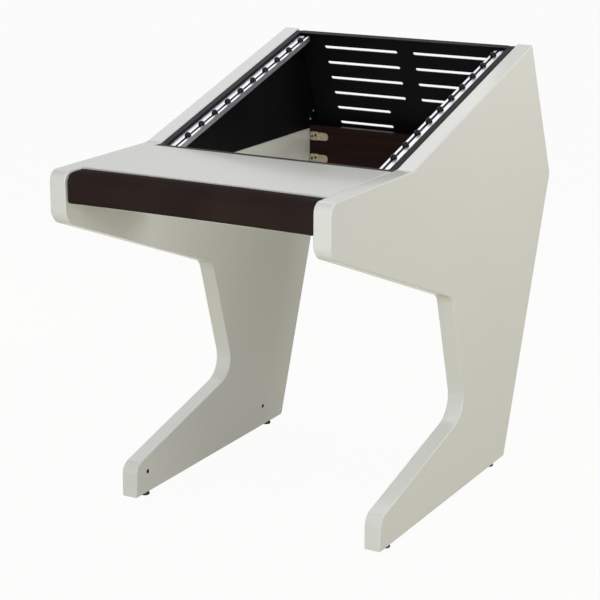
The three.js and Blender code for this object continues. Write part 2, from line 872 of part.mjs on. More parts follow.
glidePlaces.forEach(({ name, x, y }) => {
  const bore = rod(glideStemRadius + seatGap, 2 * glideStemLength, [x, y, -glideStemLength], upward);
  const bush = rod(glideBushRadius, glideBushLength, [x, y, seatGap], upward);
  addPiece(`glide_bush_${name}`, cut(bush, [bore]), zincSteel);
});

// Threaded bushes set in the panels' inner faces, low down, front and rear
sides.forEach((side) => {
  const outward = across.clone().multiplyScalar(side);
  Object.entries(footBushDepths).forEach(([end, depth]) => {
    const bush = rod(footBushRadius, footBushLength,
      [side * innerHalf, depth, footBushHeight], outward, roundSides);
    const bore = rod(footBushBore, 2 * footBushLength,
      [side * (innerHalf - overrun), depth, footBushHeight], outward);
    addPiece(`foot_bush_${end}_${sideName(side)}`, cut(bush, [bore]), darkBush);
  });
});

export default desk;
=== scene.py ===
import math

import bmesh
import bpy
from mathutils import Matrix, Vector


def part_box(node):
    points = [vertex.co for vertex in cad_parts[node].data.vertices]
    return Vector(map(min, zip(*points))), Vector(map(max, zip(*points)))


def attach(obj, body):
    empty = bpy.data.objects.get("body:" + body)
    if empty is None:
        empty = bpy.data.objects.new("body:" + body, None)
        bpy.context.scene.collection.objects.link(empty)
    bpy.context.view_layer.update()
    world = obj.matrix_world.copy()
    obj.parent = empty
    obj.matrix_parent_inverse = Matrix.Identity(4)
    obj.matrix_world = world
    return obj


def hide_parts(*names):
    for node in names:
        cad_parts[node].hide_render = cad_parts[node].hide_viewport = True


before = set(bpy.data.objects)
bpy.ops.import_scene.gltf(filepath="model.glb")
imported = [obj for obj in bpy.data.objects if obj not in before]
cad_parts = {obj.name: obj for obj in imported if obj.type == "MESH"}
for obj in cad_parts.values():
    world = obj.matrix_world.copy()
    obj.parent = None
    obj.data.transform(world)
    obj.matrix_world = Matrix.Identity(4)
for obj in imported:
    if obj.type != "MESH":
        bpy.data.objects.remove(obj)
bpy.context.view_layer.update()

# Side panels: two thick boards cut to one outline and sprayed with white gloss lacquer.
# Their noses, knees and crotches are rounded, their arrises eased, and they stand on glides.
mm = 0.001
white_lacquer_colour = (0.75, 0.748, 0.705, 1.0)
panel_arris = 2.6 * mm
arris_segments = 3
corner_segments = 14
panel_corners = (
    (214, 0, 0),
    (214, 68, 25),
    (604, 167.5, 51),
    (521, 435, 28),
    (0, 630, 33),
    (0, 728, 20.5),
    (328.5, 728, 60),
    (902.5, 897, 0),
    (1033, 599.5, 15),
    (822, 0, 6.5),
)
smooth_angle = math.radians(40)
merge_distance = 0.001 * mm


def node_material(name):
    """A new material, its node tree, its shader and the piece's own coordinates."""
    material = bpy.data.materials.new(name)
    material.use_nodes = True
    tree = material.node_tree
    shader = tree.nodes["Principled BSDF"]
    place = tree.nodes.new("ShaderNodeTexCoord").outputs["Object"]
    return material, tree, shader, place


def noise(tree, place, scale, detail=2.0, roughness=0.5, stretch=None):
    """A noise pattern, stretched along the piece's axes where that is asked for."""
    if stretch is not None:
        mapping = tree.nodes.new("ShaderNodeMapping")
        mapping.inputs["Scale"].default_value = stretch
        tree.links.new(place, mapping.inputs["Vector"])
        place = mapping.outputs["Vector"]
    texture = tree.nodes.new("ShaderNodeTexNoise")
    texture.inputs["Scale"].default_value = scale
    texture.inputs["Detail"].default_value = detail
    texture.inputs["Roughness"].default_value = roughness
    tree.links.new(place, texture.inputs["Vector"])
    return texture.outputs["Fac"]


def spread(tree, value, low, high, target):
    """Sends a pattern to a number socket, between two levels."""
    levels = tree.nodes.new("ShaderNodeMapRange")
    levels.inputs["To Min"].default_value = low
    levels.inputs["To Max"].default_value = high
    tree.links.new(value, levels.inputs["Value"])
    tree.links.new(levels.outputs["Result"], target)


def tint(tree, value, colours, target):
    """Sends a pattern to a colour socket, through colours at their places on a ramp."""
    ramp = tree.nodes.new("ShaderNodeValToRGB")
    marks = ramp.color_ramp.elements
    while len(marks) < len(colours):
        marks.new(1.0)
    for mark, (at, colour) in zip(marks, colours):
        mark.position = at
        mark.color = colour
    tree.links.new(value, ramp.inputs["Fac"])
    tree.links.new(ramp.outputs["Color"], target)


def relief(tree, value, height, strength, shader, normal=None):
    """Raises a pattern as a bump, on top of an earlier bump where one is given."""
    bump = tree.nodes.new("ShaderNodeBump")
    bump.inputs["Distance"].default_value = height
    bump.inputs["Strength"].default_value = strength
    tree.links.new(value, bump.inputs["Height"])
    if normal is not None:
        tree.links.new(normal, bump.inputs["Normal"])
    tree.links.new(bump.outputs["Normal"], shader.inputs["Normal"])
    return bump.outputs["Normal"]


def shaded(colour, share):
    """A colour made darker or lighter by a share."""
    return (*(channel * share for channel in colour[:3]), 1.0)


def white_lacquer():
    material, tree, shader, place = node_material("white_lacquer")
    shader.inputs["Specular IOR Level"].default_value = 0.3
    tone = noise(tree, place, 3.0, 2.0)
    tint(tree, tone, ((0.3, shaded(white_lacquer_colour, 0.985)),
                      (0.7, shaded(white_lacquer_colour, 1.0))), shader.inputs["Base Color"])
    spread(tree, noise(tree, place, 14.0, 4.0), 0.09, 0.15, shader.inputs["Roughness"])
    relief(tree, noise(tree, place, 260.0, 2.0), 0.00004, 0.25, shader)
    return material


lacquer = white_lacquer()


def new_piece(name, bm, material, body, slot_name, *nodes):
    """Makes a piece of a finished bmesh, which rides on a body and may replace CAD nodes."""
    bmesh.ops.remove_doubles(bm, verts=bm.verts, dist=merge_distance)
    bmesh.ops.recalc_face_normals(bm, faces=bm.faces)
    mesh = bpy.data.meshes.new(name)
    bm.to_mesh(mesh)
    bm.free()
    mesh.materials.append(material)
    mesh.shade_smooth()
    mesh.set_sharp_from_angle(angle=smooth_angle)
    piece = bpy.data.objects.new(name, mesh)
    bpy.context.scene.collection.objects.link(piece)
    weighted = piece.modifiers.new("weighted_normals", "WEIGHTED_NORMAL")
    weighted.keep_sharp = True
    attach(piece, body)
    if nodes:
        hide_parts(*nodes)
    return piece


def eased(bm, edges, offset, segments=arris_segments):
    """Rounds edges to a small radius."""
    return bmesh.ops.bevel(bm, geom=edges, offset=offset, offset_type="OFFSET", affect="EDGES",
                           segments=segments, profile=0.5, material=-1, clamp_overlap=True)


def rounded_outline(bm, corners, place_of):
    """A face from corners of (depth, height, radius), its marked corners rounded."""
    points = [Vector(place_of(depth, height)) for depth, height, _ in corners]
    verts = [bm.verts.new(point) for point in points]
    bm.faces.new(verts)
    for index, (_, _, radius) in enumerate(corners):
        if not radius:
            continue
        before = points[index - 1] - points[index]
        after = points[(index + 1) % len(points)] - points[index]
        half = before.angle(after) / 2
        bmesh.ops.bevel(bm, geom=[verts[index]], offset=radius * mm / math.tan(half),
                        offset_type="OFFSET", affect="VERTICES", segments=corner_segments,
                        profile=0.5, material=-1, clamp_overlap=False)


def stand_in(bm):
    """An object that only lends its mesh to a cut."""
    mesh = bpy.data.meshes.new("stand_in")
    bm.to_mesh(mesh)
    bm.free()
    holder = bpy.data.objects.new("stand_in", mesh)
    bpy.context.scene.collection.objects.link(holder)
    return holder


def bored(bm, cutter_bm):
    """The first mesh with the second cut out of it."""
    whole, cutter = stand_in(bm), stand_in(cutter_bm)
    boolean = whole.modifiers.new("cut", "BOOLEAN")
    boolean.object = cutter
    boolean.solver = "EXACT"
    result = bmesh.new()
    result.from_object(whole, bpy.context.evaluated_depsgraph_get())
    for holder in (whole, cutter):
        mesh = holder.data
        bpy.data.objects.remove(holder)
        bpy.data.meshes.remove(mesh)
    return result


def add_rod(bm, start, end, radius, segments=32):
    """A closed round bar between two points."""
    start, end = Vector(start), Vector(end)
    along = end - start
    place = Matrix.Translation((start + end) / 2) @ along.to_track_quat("Z", "Y").to_matrix().to_4x4()
    return bmesh.ops.create_cone(bm, cap_ends=True, cap_tris=False, segments=segments,
                                 radius1=radius, radius2=radius, depth=along.length, matrix=place)


bush_hole_radius = 5.1 * mm
bush_hole_depth = 15.3 * mm
glide_hole_radius = 6.2 * mm
glide_hole_reach = 3 * mm
panel_inner_half = 264 * mm


def bush_holes(side):
    """The blind holes for the bushes in a board's inner face and lower edge."""
    sign = -1 if side == "left" else 1
    bm = bmesh.new()
    for end in ("front", "rear"):
        low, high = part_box(f"glide_bush_{end}_{side}")
        middle = (low + high) / 2
        add_rod(bm, (middle.x, middle.y, low.z - glide_hole_reach), (middle.x, middle.y, high.z),
                glide_hole_radius)
        low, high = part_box(f"foot_bush_{end}_{side}")
        middle = (low + high) / 2
        add_rod(bm, (sign * (panel_inner_half - bush_hole_depth), middle.y, middle.z),
                (sign * (panel_inner_half + bush_hole_depth), middle.y, middle.z),
                bush_hole_radius)
    return bm


def side_panel(side):
    """One board, its outline cut, thickened, eased all round and bored."""
    name = f"side_panel_{side}"
    low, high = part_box(name)
    bm = bmesh.new()
    rounded_outline(bm, panel_corners,
                    lambda depth, height: (low.x, low.y + depth * mm, low.z + height * mm))
    extruded = bmesh.ops.extrude_face_region(bm, geom=bm.faces[:])
    moved = [item for item in extruded["geom"] if isinstance(item, bmesh.types.BMVert)]
    bmesh.ops.translate(bm, verts=moved, vec=(high.x - low.x, 0, 0))
    rims = [edge for edge in bm.edges
            if abs(edge.verts[0].co.x - edge.verts[1].co.x) < panel_arris / 2]
    eased(bm, rims, panel_arris)
    bmesh.ops.recalc_face_normals(bm, faces=bm.faces)
    new_piece(f"lacquered_{name}", bored(bm, bush_holes(side)), lacquer, "frame",
              "white_lacquer", name)


for side in ("left", "right"):
    side_panel(side)

# Desktop: a lacquered board between the two side panels, flush with the tops of their arms.
# Its arrises are eased like the panels', and it lies on a steel angle at each end.
desktop_arris = 1.0 * mm


def eased_box(low, high, arris, segments=arris_segments):
    """A board with all its edges rounded to a small radius."""
    bm = bmesh.new()
    size = high - low
    place = Matrix.Translation((low + high) / 2) @ Matrix.Diagonal((*size, 1.0))
    bmesh.ops.create_cube(bm, size=1.0, matrix=place)
    eased(bm, bm.edges[:], arris, segments)
    return bm


new_piece("lacquered_desktop", eased_box(*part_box("desktop"), desktop_arris),
          lacquer, "frame", "white_lacquer", "desktop")


# Armrest beam: the timber that carries the padding, lacquered like the rest.
# The leather covers its front and top, and only its underside is bare.
def dress(node_name, material):
    """Gives a CAD node that keeps its own shape a finish."""
    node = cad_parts[node_name]
    node.data.materials.clear()
    node.data.materials.append(material)


dress("armrest_beam", lacquer)

# Armrest pad: foam under dark brown smooth leather, wrapped over the beam's front and top.
# The leather is drawn tight over the foam, swells a little between its edges and is tucked
# in at both ends, beside the panels.
pad_low, pad_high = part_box("armrest_pad")
pad_shell = 12 * mm
pad_front_radius = 21
pad_inset = 1.1
pad_round = 5
pad_voxel = 4.0 * mm
pad_pressure = 4.0
pad_frames = 20
pad_quality = 5
pad_most_swell = 2.6 * mm
pad_gap = 0.15 * mm
leather_colour = (0.029, 0.0195, 0.0168, 1.0)


def brown_leather():
    material, tree, shader, place = node_material("brown_leather")
    shader.inputs["Specular IOR Level"].default_value = 0.005
    tint(tree, noise(tree, place, 9.0, 3.0),
         ((0.3, shaded(leather_colour, 0.86)), (0.72, shaded(leather_colour, 1.16))),
         shader.inputs["Base Color"])
    spread(tree, noise(tree, place, 22.0, 3.0), 0.5, 0.62, shader.inputs["Roughness"])
    grain = tree.nodes.new("ShaderNodeTexVoronoi")
    grain.feature = "F1"
    grain.inputs["Scale"].default_value = 950.0
    tree.links.new(place, grain.inputs["Vector"])
    pebbles = relief(tree, grain.outputs["Distance"], 0.00012, 0.35, shader)
    creases = noise(tree, place, 60.0, 4.0, 0.6, stretch=(0.35, 1.0, 1.0))
    relief(tree, creases, 0.0006, 0.25, shader, pebbles)
    return material


def pad_form():
    """The foam's own form, a little slimmer than the leather that it fills."""
    bm = bmesh.new()
    depth = (pad_high.y - pad_low.y) / mm
    height = (pad_high.z - pad_low.z) / mm
    shell = pad_shell / mm
    corners = (
        (shell, height - shell, 0),
        (depth - pad_inset, height - shell, 0),
        (depth - pad_inset, height - pad_inset, pad_round - 1),
        (pad_inset, height - pad_inset, pad_front_radius),
        (pad_inset, pad_inset, pad_round),
        (shell, pad_inset, 0),
    )
    rounded_outline(bm, corners,
                    lambda y, z: (pad_low.x + pad_inset * mm, pad_low.y + y * mm, pad_low.z + z * mm))
    extruded = bmesh.ops.extrude_face_region(bm, geom=bm.faces[:])
    moved = [item for item in extruded["geom"] if isinstance(item, bmesh.types.BMVert)]
    bmesh.ops.translate(bm, verts=moved,
                        vec=(pad_high.x - pad_low.x - 2 * pad_inset * mm, 0, 0))
    bmesh.ops.recalc_face_normals(bm, faces=bm.faces)
    return bm


def swollen(piece, seat_group):
    """Fills a form with pressure, so that its leather swells, and keeps the result."""
    rest = [vert.co.copy() for vert in piece.data.vertices]
    cloth = piece.modifiers.new("leather", "CLOTH")
    cloth.settings.quality = pad_quality
    cloth.settings.use_pressure = True
    cloth.settings.uniform_pressure_force = pad_pressure
    cloth.settings.vertex_group_mass = seat_group
    cloth.settings.effector_weights.gravity = 0
    cloth.point_cache.frame_start = 1
    cloth.point_cache.frame_end = pad_frames
    for number in range(1, pad_frames + 1):
        bpy.context.scene.frame_set(number)
    evaluated = piece.evaluated_get(bpy.context.evaluated_depsgraph_get())
    swelled = [vert.co.copy() for vert in evaluated.data.vertices]
    piece.modifiers.remove(cloth)
    bpy.context.scene.frame_set(1)
    for vert, before, after in zip(piece.data.vertices, rest, swelled):
        step = after - before
        if step.length > pad_most_swell:
            step.length = pad_most_swell
        vert.co = before + step


def armrest_pad():
    piece = new_piece("leather_armrest_pad", pad_form(), brown_leather(), "frame",
                      "brown_leather", "armrest_pad")
    piece.modifiers.clear()
    remesh = piece.modifiers.new("even_mesh", "REMESH")
    remesh.mode = "VOXEL"
    remesh.voxel_size = pad_voxel
    remesh.use_smooth_shade = True
    evaluated = piece.evaluated_get(bpy.context.evaluated_depsgraph_get())
    mesh = bpy.data.meshes.new_from_object(evaluated)
    piece.modifiers.clear()
    piece.data = mesh
    seat = piece.vertex_groups.new(name="seat")
    shell = pad_shell + pad_voxel / 4
    for vert in mesh.vertices:
        behind_front = vert.co.y > pad_low.y + shell - pad_voxel / 2
        under_top = vert.co.z < pad_high.z - shell + pad_voxel / 2
        tucked_in = vert.co.y > pad_high.y - pad_voxel
        if tucked_in or (behind_front and under_top):
            seat.add([vert.index], 1.0, "REPLACE")
    swollen(piece, seat.name)
    low = pad_low + Vector((pad_gap, -2 * pad_gap, pad_gap))
    high = pad_high + Vector((-pad_gap, 0, 3 * pad_gap))
    for vert in piece.data.vertices:
        for axis in range(3):
            vert.co[axis] = min(max(vert.co[axis], low[axis]), high[axis])
    piece.data.shade_smooth()
    finer = piece.modifiers.new("finer", "SUBSURF")
    finer.levels = finer.render_levels = 1


armrest_pad()

# Steel angles: folded strip under each end of the desktop, powder coated black.
# Pan-headed wood screws hold them to the panels and to the board.
black_steel_colour = (0.0052, 0.0054, 0.0063, 1.0)
zinc_colour = (0.55, 0.56, 0.57, 1.0)


def black_steel():
    material, tree, shader, place = node_material("black_powder_coat")
    shader.inputs["Specular IOR Level"].default_value = 0.05
    tint(tree, noise(tree, place, 7.0, 3.0),
         ((0.3, shaded(black_steel_colour, 0.85)), (0.7, shaded(black_steel_colour, 1.2))),
         shader.inputs["Base Color"])
    spread(tree, noise(tree, place, 30.0, 3.0), 0.36, 0.47, shader.inputs["Roughness"])
    relief(tree, noise(tree, place, 1500.0, 2.0), 0.00006, 0.35, shader)
    return material


def zinc_steel():
    material, tree, shader, place = node_material("zinc_plate")
    shader.inputs["Metallic"].default_value = 1.0
    tint(tree, noise(tree, place, 240.0, 3.0),
         ((0.3, shaded(zinc_colour, 0.85)), (0.7, shaded(zinc_colour, 1.1))),
         shader.inputs["Base Color"])
    spread(tree, noise(tree, place, 420.0, 2.0), 0.22, 0.36, shader.inputs["Roughness"])
    relief(tree, noise(tree, place, 2400.0, 2.0), 0.00002, 0.2, shader)
    return material


powder_coat = black_steel()
zinc_plate = zinc_steel()
for side in ("left", "right"):
    dress(f"desktop_angle_{side}", powder_coat)

cross_width_share = 0.2
cross_reach_share = 0.55
cross_depth_share = 0.5
head_turns = 28


def turned(profile, turns, is_ring=False):
    """A form turned about the upright axis from (radius, height) points."""
    bm = bmesh.new()
    verts = [bm.verts.new((across, 0, up)) for across, up in profile]
    pairs = list(zip(verts, verts[1:]))
    if is_ring:
        pairs.append((verts[-1], verts[0]))
    edges = [bm.edges.new(pair) for pair in pairs]
    bmesh.ops.spin(bm, geom=verts + edges, cent=(0, 0, 0), axis=(0, 0, 1), angle=2 * math.pi,
                   steps=turns, use_merge=True, use_duplicate=False)
    bmesh.ops.remove_doubles(bm, verts=bm.verts, dist=merge_distance)
    bmesh.ops.recalc_face_normals(bm, faces=bm.faces)
    return bm


def screw_head(radius, height, place, washer=0.0):
    """A domed head turned about its axis, crossed on top, its seat at the place's origin."""
    dome = [(0.0, 0.0), (radius, 0.0), (radius, height * 0.42), (radius * 0.93, height * 0.7),
            (radius * 0.72, height * 0.92), (radius * 0.4, height), (0.0, height)]
    if washer:
        dome[1:2] = [(washer, 0.0), (washer, height * 0.22), (washer * 0.93, height * 0.36),
                     (radius, height * 0.4)]
    bm = turned(dome, head_turns)
    reach, half_width, deep = (radius * cross_reach_share, radius * cross_width_share / 2,
                               height * cross_depth_share)
    for first, second in ((reach, half_width), (half_width, reach)):
        cutter = bmesh.new()
        bmesh.ops.create_cube(cutter, size=2.0, matrix=Matrix.Translation((0, 0, height))
                              @ Matrix.Diagonal((first, second, deep, 1.0)))
        bm = bored(bm, cutter)
    bmesh.ops.transform(bm, matrix=place, verts=bm.verts)
    return bm


def facing(point, outward):
    """The place of a fitting that sits at a point and faces outwards."""
    return Matrix.Translation(point) @ Vector(outward).to_track_quat("Z", "Y").to_matrix().to_4x4()


wood_screw_radius = 4.0 * mm
wood_screw_height = 2.2 * mm
angle_sheet = 3 * mm
angle_reach = 30 * mm
angle_hole_shares = (0.12, 0.5, 0.88)
hair = 0.05 * mm


def angle_screws(side):
    """Three screws up into the board and three sideways into the panel."""
    sign = -1 if side == "left" else 1
    low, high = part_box(f"desktop_angle_{side}")
    outer = high.x if sign > 0 else low.x
    middle = (angle_reach + angle_sheet) / 2
    for number, share in enumerate(angle_hole_shares, 1):
        depth = low.y + share * (high.y - low.y)
        upright = facing((outer - sign * (angle_sheet + hair), depth, high.z - middle), (-sign, 0, 0))
        flat = facing((outer - sign * middle, depth, high.z - angle_sheet - hair), (0, 0, -1))
        for kind, place in (("panel", upright), ("board", flat)):
            new_piece(f"angle_{kind}_screw_{side}_{number}",
                      screw_head(wood_screw_radius, wood_screw_height, place),
                      zinc_plate, "frame", "zinc_steel")


for side in ("left", "right"):
    angle_screws(side)

# Rack frame: folded sheet steel, powder coated black. A liner on each panel carries a rail,
# a narrow plate closes the desktop's rear edge and a slotted panel closes the back. Small
# bright and dark screws hold the liners and the slotted panel's side tabs.
for node_name in ("rack_liner_left", "rack_liner_right", "rack_front_plate", "vent_panel"):
    dress(node_name, powder_coat)

liner_wall_half = 261.7 * mm
vent_tab_half = 258.4 * mm
liner_screw_height = 1.7 * mm
panel_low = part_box("side_panel_left")[0]
black_screw_colour = (0.006, 0.006, 0.0066, 1.0)


def black_oxide():
    material, tree, shader, place = node_material("black_oxide")
    shader.inputs["Metallic"].default_value = 0.2
    shader.inputs["Specular IOR Level"].default_value = 0.16
    tint(tree, noise(tree, place, 300.0, 3.0),
         ((0.3, shaded(black_screw_colour, 0.8)), (0.7, shaded(black_screw_colour, 1.5))),
         shader.inputs["Base Color"])
    spread(tree, noise(tree, place, 500.0, 2.0), 0.24, 0.4, shader.inputs["Roughness"])
    relief(tree, noise(tree, place, 2600.0, 2.0), 0.00002, 0.2, shader)
    return material


black_finish = black_oxide()
liner_screws = (
    ("tab_lower", vent_tab_half, 958.7, 701.4, 2.4 * mm, zinc_plate, "zinc_steel"),
    ("wall", liner_wall_half, 951.4, 683.2, 3.4 * mm, zinc_plate, "zinc_steel"),
    ("tab_upper", vent_tab_half, 911.1, 812.1, 2.9 * mm, black_finish, "black_screw"),
)
for side, sign in (("left", -1), ("right", 1)):
    for kind, half, depth, height, radius, material, slot_name in liner_screws:
        point = (sign * (half - hair), panel_low.y + depth * mm, panel_low.z + height * mm)
        new_piece(f"liner_{kind}_screw_{side}",
                  screw_head(radius, liner_screw_height, facing(point, (-sign, 0, 0))),
                  material, "frame", slot_name)

# Rack rails: extruded aluminium with a slot along its face and ribbed sides, satin anodised.
# They lie on the liners' seats, and a threaded steel strip runs inside each one.
slope_front = (328.5, 728.0)
slope_back = (902.5, 897.0)
slope_angle = math.atan2(slope_back[1] - slope_front[1], slope_back[0] - slope_front[0])
slope_frame = (Matrix.Translation((0, panel_low.y + slope_front[0] * mm,
                                   panel_low.z + slope_front[1] * mm))
               @ Matrix.Rotation(slope_angle, 4, "X"))
aluminium_colour = (0.62, 0.63, 0.66, 1.0)


def rail_aluminium():
    material, tree, shader, place = node_material("satin_aluminium")
    shader.inputs["Metallic"].default_value = 1.0
    along_rail = tree.nodes.new("ShaderNodeMapping")
    along_rail.inputs["Rotation"].default_value = (-slope_angle, 0, 0)
    tree.links.new(place, along_rail.inputs["Vector"])
    lines = noise(tree, along_rail.outputs["Vector"], 900.0, 2.0, 0.6, stretch=(1.0, 0.012, 1.0))
    tint(tree, lines, ((0.25, shaded(aluminium_colour, 0.86)),
                       (0.75, shaded(aluminium_colour, 1.08))), shader.inputs["Base Color"])
    spread(tree, lines, 0.34, 0.48, shader.inputs["Roughness"])
    drawn = relief(tree, lines, 0.00003, 0.3, shader)
    ribs = tree.nodes.new("ShaderNodeTexWave")
    ribs.bands_direction = "Z"
    ribs.inputs["Scale"].default_value = 260.0
    tree.links.new(along_rail.outputs["Vector"], ribs.inputs["Vector"])
    relief(tree, ribs.outputs["Fac"], 0.0001, 0.6, shader, drawn)
    return material


satin_aluminium = rail_aluminium()
for side in ("left", "right"):
    dress(f"rack_rail_{side}", satin_aluminium)
    dress(f"nut_strip_{side}", powder_coat)

# Rack screws: ten in each rail, black oxide pan heads on black cup washers. They wait in
# the slot for equipment, screwed into the strip below.
column_half = 232.55 * mm
rack_screw_first = 52.0 * mm
rack_screw_pitch = 54.496 * mm
rack_screw_count = 10
rack_screw_radius = 6.2 * mm
rack_washer_radius = 6.8 * mm
rack_screw_height = 7.4 * mm
rail_face = -5.5 * mm

rack_screw_turns = (0.3, 1.1, 0.75, 0.1, 1.4, 0.55, 0.95, 0.2, 1.25, 0.65)
for side, sign in (("left", -1), ("right", 1)):
    for index in range(rack_screw_count):
        along = rack_screw_first + index * rack_screw_pitch
        place = (slope_frame @ Matrix.Translation((sign * column_half, along, rail_face + hair))
                 @ Matrix.Rotation(rack_screw_turns[index] * sign, 4, "Z"))
        new_piece(f"rack_screw_head_{side}_{index + 1}",
                  screw_head(rack_screw_radius, rack_screw_height, place, rack_washer_radius),
                  black_finish, "frame", "black_screw", f"rack_screw_{side}_{index + 1}")

# Cross rail: a dark brown board between the panels, low on the back. It stiffens the desk
# and closes the gap under the slotted panel, which hooks behind its top edge.
board_colour = (0.021, 0.0098, 0.0084, 1.0)


def brown_board():
    material, tree, shader, place = node_material("brown_board")
    shader.inputs["Specular IOR Level"].default_value = 0.04
    grain = noise(tree, place, 60.0, 4.0, 0.6, stretch=(0.05, 1.0, 1.0))
    tint(tree, grain, ((0.3, shaded(board_colour, 0.8)), (0.7, shaded(board_colour, 1.25))),
         shader.inputs["Base Color"])
    spread(tree, noise(tree, place, 40.0, 3.0), 0.28, 0.4, shader.inputs["Roughness"])
    relief(tree, grain, 0.00008, 0.3, shader)
    return material


dress("cross_rail", brown_board())

# Rail connectors: nickelled die castings on the cross rail's inner face, two at each end.
# Two small dark screws hold each lobe, and a bolt runs from the plate into the panel.
nickel_colour = (0.66, 0.58, 0.43, 1.0)
connector_screw_radius = 2.8 * mm
connector_screw_height = 1.0 * mm
connector_sink_depth = 1.15 * mm
connector_screw_offsets = ((4.94, -1.4), (14.06, 1.4))
connector_end = 261.7 * mm
connector_face = 950.3


def nickel():
    material, tree, shader, place = node_material("warm_nickel")
    shader.inputs["Metallic"].default_value = 1.0
    tint(tree, noise(tree, place, 120.0, 4.0),
         ((0.3, shaded(nickel_colour, 0.8)), (0.7, shaded(nickel_colour, 1.15))),
         shader.inputs["Base Color"])
    spread(tree, noise(tree, place, 260.0, 3.0), 0.26, 0.42, shader.inputs["Roughness"])
    relief(tree, noise(tree, place, 900.0, 2.0), 0.00003, 0.3, shader)
    return material


warm_nickel = nickel()
for side, sign in (("left", -1), ("right", 1)):
    for level in ("lower", "upper"):
        dress(f"rail_connector_{level}_{side}", warm_nickel)
        dress(f"connector_bolt_{level}_{side}", zinc_plate)
        low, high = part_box(f"rail_connector_{level}_{side}")
        for number, (inset, rise) in enumerate(connector_screw_offsets, 1):
            point = (sign * (connector_end - inset * mm),
                     panel_low.y + connector_face * mm + connector_sink_depth,
                     (low.z + high.z) / 2 + rise * mm)
            new_piece(f"connector_screw_{level}_{side}_{number}",
                      screw_head(connector_screw_radius, connector_screw_height,
                                 facing(point, (0, -1, 0))),
                      black_finish, "frame", "black_screw")

# Levelling glides: a moulded black foot on a zinc-plated threaded stem with a nut, one near
# each end of both panels. The stem screws in a bush pressed into the panel's lower edge.
plastic_colour = (0.012, 0.012, 0.012, 1.0)


def black_plastic():
    material, tree, shader, place = node_material("black_plastic")
    tint(tree, noise(tree, place, 90.0, 3.0),
         ((0.3, shaded(plastic_colour, 0.8)), (0.7, shaded(plastic_colour, 1.4))),
         shader.inputs["Base Color"])
    spread(tree, noise(tree, place, 200.0, 2.0), 0.42, 0.56, shader.inputs["Roughness"])
    relief(tree, noise(tree, place, 1600.0, 2.0), 0.00005, 0.4, shader)
    return material


moulded_plastic = black_plastic()
round_turns = 48
glide_foot_profile = ((0, 0), (8.5, 0), (9.4, 0.25), (9.9, 0.8), (10, 1.5), (10, 3.3), (9.8, 4.0),
                      (8.3, 6.5), (7.6, 7), (0, 7))
glide_bush_profile = ((4.3, 0), (5.6, 0), (6, 0.4), (6, 25), (4.3, 25))
stem_crest = 4 * mm
stem_root = 3.6 * mm
stem_pitch = 1.25 * mm
nut_radius = 7 * mm
nut_height = 2.2 * mm
nut_arris = 0.35 * mm
nut_segments = 2


def in_millimetres(profile):
    return [(across * mm, up * mm) for across, up in profile]


def stem_and_nut(low, high, nut_seat):
    """A stem with a thread's ridges, its nut near the lower end."""
    length = high.z - low.z
    ridges = int(length / stem_pitch)
    profile = [(0, 0)]
    for number in range(ridges):
        start = number * length / ridges
        profile += [(stem_root, start), (stem_crest, start + stem_pitch / 2)]
    bm = turned([*profile, (stem_root, length), (0, length)], round_turns)
    seat = nut_seat - low.z
    nut = bmesh.ops.create_cone(bm, cap_ends=True, cap_tris=False, segments=6, radius1=nut_radius,
                                radius2=nut_radius, depth=nut_height,
                                matrix=Matrix.Translation((0, 0, seat + nut_height / 2)))
    nut_edges = list({edge for vert in nut["verts"] for edge in vert.link_edges})
    eased(bm, nut_edges, nut_arris, nut_segments)
    return bm


corners = [f"{end}_{side}" for side in ("left", "right") for end in ("front", "rear")]
for corner in corners:
    foot_low, foot_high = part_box(f"glide_foot_{corner}")
    stem_low, stem_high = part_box(f"glide_stem_{corner}")
    bush_low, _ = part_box(f"glide_bush_{corner}")
    glide_pieces = (
        ("foot", turned(in_millimetres(glide_foot_profile), round_turns), foot_low.z,
         moulded_plastic, "black_plastic", f"glide_{corner}"),
        ("stem", stem_and_nut(stem_low, stem_high, foot_high.z + hair), stem_low.z,
         zinc_plate, "zinc_steel", f"glide_{corner}"),
        ("bush", turned(in_millimetres(glide_bush_profile), round_turns, True), bush_low.z,
         zinc_plate, "zinc_steel", "frame"),
    )
    middle = (foot_low + foot_high) / 2
    for kind, bm, height, material, slot_name, body in glide_pieces:
        bmesh.ops.translate(bm, verts=bm.verts, vec=(middle.x, middle.y, height))
        new_piece(f"turned_glide_{kind}_{corner}", bm, material, body, slot_name,
                  f"glide_{kind}_{corner}")

# Foot bushes: dark threaded bushes in the panels' inner faces, low down at front and rear.
# Each is pressed in flush with the face, and its mouth is eased.
dark_bush_colour = (0.045, 0.043, 0.038, 1.0)
foot_bush_profile = ((2.9, 0), (2.9, 14.4), (3.5, 15), (4.4, 15), (4.8, 14.6), (4.8, 0))


def dark_bush():
    material, tree, shader, place = node_material("burnished_bush")
    shader.inputs["Metallic"].default_value = 0.8
    tint(tree, noise(tree, place, 200.0, 3.0),
         ((0.3, shaded(dark_bush_colour, 0.7)), (0.7, shaded(dark_bush_colour, 1.5))),
         shader.inputs["Base Color"])
    spread(tree, noise(tree, place, 500.0, 2.0), 0.35, 0.5, shader.inputs["Roughness"])
    return material


burnished_bush = dark_bush()
for corner in corners:
    low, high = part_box(f"foot_bush_{corner}")
    inward = -1 if low.x > 0 else 1
    bm = turned(in_millimetres(foot_bush_profile), round_turns, True)
    bottom = Vector((high.x if low.x > 0 else low.x, (low.y + high.y) / 2, (low.z + high.z) / 2))
    bmesh.ops.transform(bm, matrix=facing(bottom, (inward, 0, 0)), verts=bm.verts)
    new_piece(f"turned_foot_bush_{corner}", bm, burnished_bush, "frame", "dark_bush",
              f"foot_bush_{corner}")

